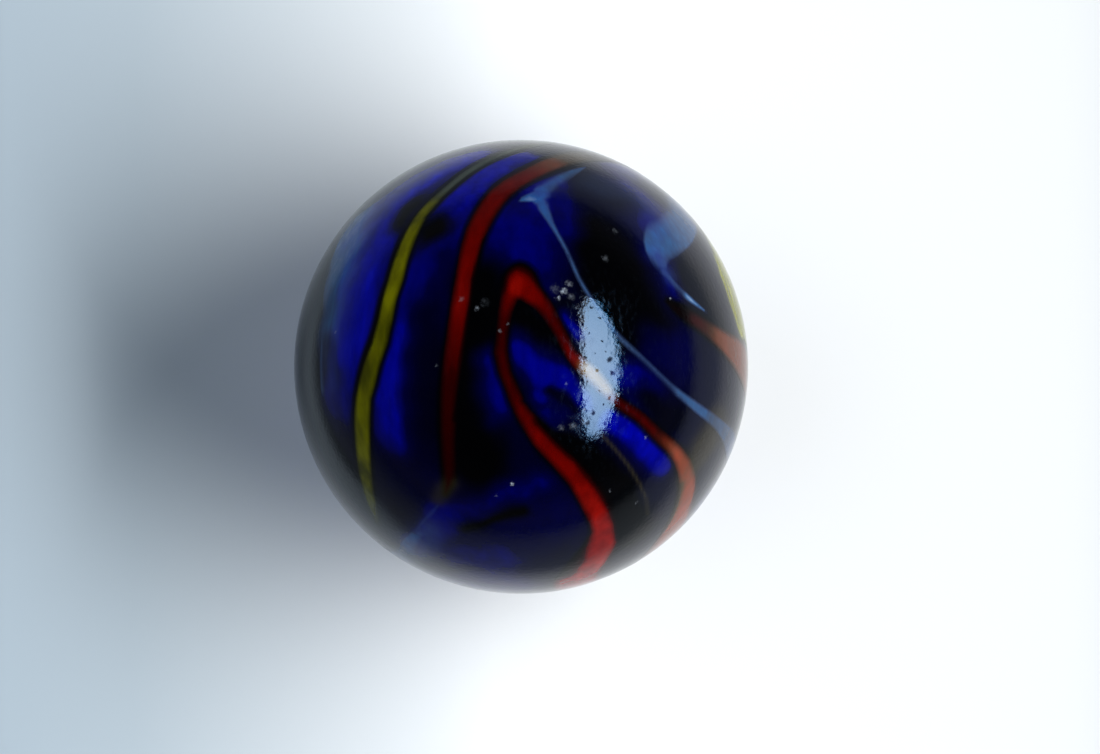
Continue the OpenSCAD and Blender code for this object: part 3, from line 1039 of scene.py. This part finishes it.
class MARBLE_OT_ball(bpy.types.Operator):
    """Make the cobalt ball and paint the light in its glass"""

    bl_idname = "marble.ball"
    bl_label = "Cobalt ball"

    def execute(self, context):
        settings = ball_settings()
        radius = settings.diameter / 2 - settings.flush_gap
        bpy.ops.object.select_all(action="DESELECT")
        bpy.ops.mesh.primitive_ico_sphere_add(subdivisions=4, radius=radius)
        ball = context.object
        ball.name = ball.data.name = "cobalt_ball"
        bpy.ops.object.mode_set(mode="EDIT")
        bpy.ops.mesh.select_all(action="SELECT")
        bpy.ops.mesh.subdivide(number_cuts=settings.cuts)
        bpy.ops.object.mode_set(mode="OBJECT")
        points = vertex_places(ball)
        points *= radius / np.linalg.norm(points, axis=1)[:, None]
        set_vertex_places(ball, points)
        bpy.ops.object.shade_smooth()
        # cobalt in soda-lime glass: black, with a painted glow of royal blue for light that comes
        # through it, and a hard bright reflection
        dress(ball, "ball", "fire_polished_cobalt_glass")
        return {"FINISHED"}


def refined_copy(node, name):
    """A copy of a ribbon's CAD node, merged, and fine enough on its skin to be painted."""
    piece = bpy.data.objects.new(name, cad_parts[node].data.copy())
    bpy.context.scene.collection.objects.link(piece)
    work_on(piece)
    bpy.ops.object.mode_set(mode="EDIT")
    bpy.ops.mesh.select_all(action="SELECT")
    bpy.ops.mesh.remove_doubles(threshold=MERGE_DISTANCE)
    for _ in range(SKIN_ROUNDS):
        bpy.ops.object.mode_set(mode="OBJECT")
        places = vertex_places(piece)
        outer = np.linalg.norm(places, axis=1) > BALL_RADIUS - SKIN_DEPTH
        for part in (piece.data.vertices, piece.data.edges, piece.data.polygons):
            part.foreach_set("select", np.zeros(len(part), bool))
        for edge in piece.data.edges:
            a, b = edge.vertices
            long_enough = np.linalg.norm(places[a] - places[b]) > SKIN_EDGE
            edge.select = bool(outer[a] and outer[b] and long_enough)
        bpy.ops.object.mode_set(mode="EDIT")
        bpy.ops.mesh.select_mode(type="EDGE")
        bpy.ops.mesh.subdivide(number_cuts=1)
    bpy.ops.mesh.select_all(action="SELECT")
    bpy.ops.mesh.quads_convert_to_tris()
    bpy.ops.object.mode_set(mode="OBJECT")
    places = vertex_places(piece)
    reach = np.linalg.norm(places, axis=1)
    outer = reach > BALL_RADIUS - SKIN_DEPTH
    places[outer] *= (BALL_RADIUS / reach[outer])[:, None]
    set_vertex_places(piece, places)
    bpy.ops.object.shade_smooth()
    # the skin shines as part of a round ball, and the sides keep their sharp edges
    normals = []
    for face in piece.data.polygons:
        on_skin = all(outer[v] for v in face.vertices)
        for v in face.vertices:
            normals.append(Vector(places[v]).normalized() if on_skin else face.normal)
    piece.data.normals_split_custom_set(normals)
    return piece


class MARBLE_OT_ribbons(bpy.types.Operator):
    """Make the red and the yellow ribbons"""

    bl_idname = "marble.ribbons"
    bl_label = "Red and yellow ribbons"

    def execute(self, context):
        red = refined_copy("red_ribbons", "red_ribbon_glass")
        # selenium in glass: dense and warm, with painted shade darkening the glass to black at its edges
        dress(red, "red_ribbons", "fire_polished_selenium_red_glass")
        yellow = refined_copy("yellow_ribbons", "yellow_ribbon_glass")
        # thin yellow glass over blue: olive rather than lemon
        dress(yellow, "yellow_ribbons", "fire_polished_olive_yellow_glass")
        return {"FINISHED"}


class MARBLE_OT_wisps(bpy.types.Operator):
    """Make the pale wisps"""

    bl_idname = "marble.wisps"
    bl_label = "Pale wisps"

    def execute(self, context):
        wisps = refined_copy("pale_wisps", "pale_wisp_glass")
        # milky glass drawn out to a skin: slate blue where it is thin, whiter where it is thick
        dress(wisps, "pale_wisps", "fire_polished_milky_slate_glass")
        return {"FINISHED"}


def soft_light(name, target, brightness, colour, diffuse=True):
    """A soft lamp of the window's size and place that faces a target, with its height near to Y."""
    width, height = WINDOW_SIZE
    lamp = bpy.data.lights.new(name, "AREA")
    lamp.shape = "ELLIPSE"
    lamp.size = width
    lamp.size_y = height
    lamp.energy = brightness * math.pi * width * height
    lamp.color = colour
    holder = bpy.data.objects.new(name, lamp)
    holder.location = WINDOW_PLACE
    back = (Vector(WINDOW_PLACE) - Vector(target)).normalized()
    side = Vector((WINDOW_LEAN, 1, 0)).cross(back).normalized()
    turn = Matrix((side, back.cross(side), back)).transposed()
    holder.rotation_euler = turn.to_euler()
    holder.visible_diffuse = diffuse
    bpy.context.scene.collection.objects.link(holder)
    return lamp


def make_floor(radius):
    """A round floor of card that the marble stands on."""
    bpy.ops.object.select_all(action="DESELECT")
    bpy.ops.mesh.primitive_circle_add(
        vertices=128, radius=radius, fill_type="NGON", location=(0, 0, -BALL_RADIUS)
    )
    floor = bpy.context.object
    floor.name = "floor"
    bpy.ops.object.transform_apply(location=True)
    floor.data.materials.append(white_card())


def make_lights(settings):
    """The window, the sharp light of it that only reflections show, and a broad soft light."""
    lamp = soft_light("window", WINDOW_TARGET, settings.window_light, WINDOW_COLOUR)
    lamp.spread = settings.window_spread
    soft_light("window_glare", (0, 0, 0), settings.window_glare, GLARE_COLOUR, diffuse=False)
    fill = bpy.data.lights.new("fill", "SUN")
    fill.energy = settings.fill_light
    fill.angle = FILL_WIDTH
    fill.color = FILL_COLOUR
    holder = bpy.data.objects.new("fill", fill)
    holder.rotation_euler = Vector(FILL_FROM).to_track_quat("Z", "Y").to_euler()
    holder.visible_glossy = False
    bpy.context.scene.collection.objects.link(holder)


def make_room(scene):
    """A dim room all round, grey at the height of the floor and darker overhead."""
    world = bpy.data.worlds.new("dim_room")
    scene.world = world
    world.use_nodes = True
    tree = world.node_tree
    tree.nodes.clear()
    aim = add_node(tree, "ShaderNodeTexCoord").outputs["Generated"]
    up = add_node(tree, "ShaderNodeSeparateXYZ", {0: aim})
    walls = add_node(tree, "ShaderNodeValToRGB", {"Fac": up.outputs["Z"]}, stops=ROOM_COLOURS)
    glow = add_node(tree, "ShaderNodeBackground", {"Color": walls, "Strength": 1.0})
    add_node(tree, "ShaderNodeOutputWorld", {"Surface": glow})


def make_camera(scene):
    """The camera, almost straight above the marble."""
    camera = bpy.data.objects.new("camera", bpy.data.cameras.new("camera"))
    scene.collection.objects.link(camera)
    back = Vector((0, -math.cos(CAMERA_ELEVATION), math.sin(CAMERA_ELEVATION)))
    turn = back.to_track_quat("Z", "Y")
    camera.rotation_euler = turn.to_euler()
    camera.location = back * CAMERA_DISTANCE + turn @ Vector((CAMERA_RIGHT, CAMERA_UP, 0))
    camera.data.sensor_width = CAMERA_SENSOR
    camera.data.lens = CAMERA_LENS
    camera.data.clip_start = CAMERA_NEAR
    scene.camera = camera


class MARBLE_OT_stage(bpy.types.Operator):
    """Make the floor, the lights, the room and the camera"""

    bl_idname = "marble.stage"
    bl_label = "Stage"

    def execute(self, context):
        settings = stage_settings()
        make_floor(settings.floor_size)
        make_lights(settings)
        make_room(context.scene)
        make_camera(context.scene)
        context.scene.view_settings.view_transform = "Standard"
        return {"FINISHED"}


class MARBLE_PT_panel(bpy.types.Panel):
    """Lists the steps and their settings"""

    bl_idname = "MARBLE_PT_panel"
    bl_label = "Glass marble"
    bl_space_type = "VIEW_3D"
    bl_region_type = "UI"
    bl_category = "Marble"

    def draw(self, context):
        for settings in (ball_settings(), glass_settings(), stage_settings()):
            box = self.layout.box()
            for name in settings.__annotations__:
                box.prop(settings, name)
        for step in STEPS:
            self.layout.operator(step.bl_idname)


STEPS = (MARBLE_OT_ball, MARBLE_OT_ribbons, MARBLE_OT_wisps, MARBLE_OT_stage)
CLASSES = (MARBLE_PG_ball, MARBLE_PG_glass, MARBLE_PG_stage, *STEPS, MARBLE_PT_panel)


def register():
    """Adds the classes and settings."""
    for kind in CLASSES:
        bpy.utils.register_class(kind)
    bpy.types.Scene.marble_ball = PointerProperty(type=MARBLE_PG_ball)
    bpy.types.Scene.marble_glass = PointerProperty(type=MARBLE_PG_glass)
    bpy.types.Scene.marble_stage = PointerProperty(type=MARBLE_PG_stage)


def unregister():
    """Takes them out again."""
    del bpy.types.Scene.marble_stage
    del bpy.types.Scene.marble_glass
    del bpy.types.Scene.marble_ball
    for kind in reversed(CLASSES):
        bpy.utils.unregister_class(kind)


def main():
    register()
    bpy.ops.marble.ball()
    bpy.ops.marble.ribbons()
    bpy.ops.marble.wisps()
    bpy.ops.marble.stage()


if __name__ == "__main__":
    main()
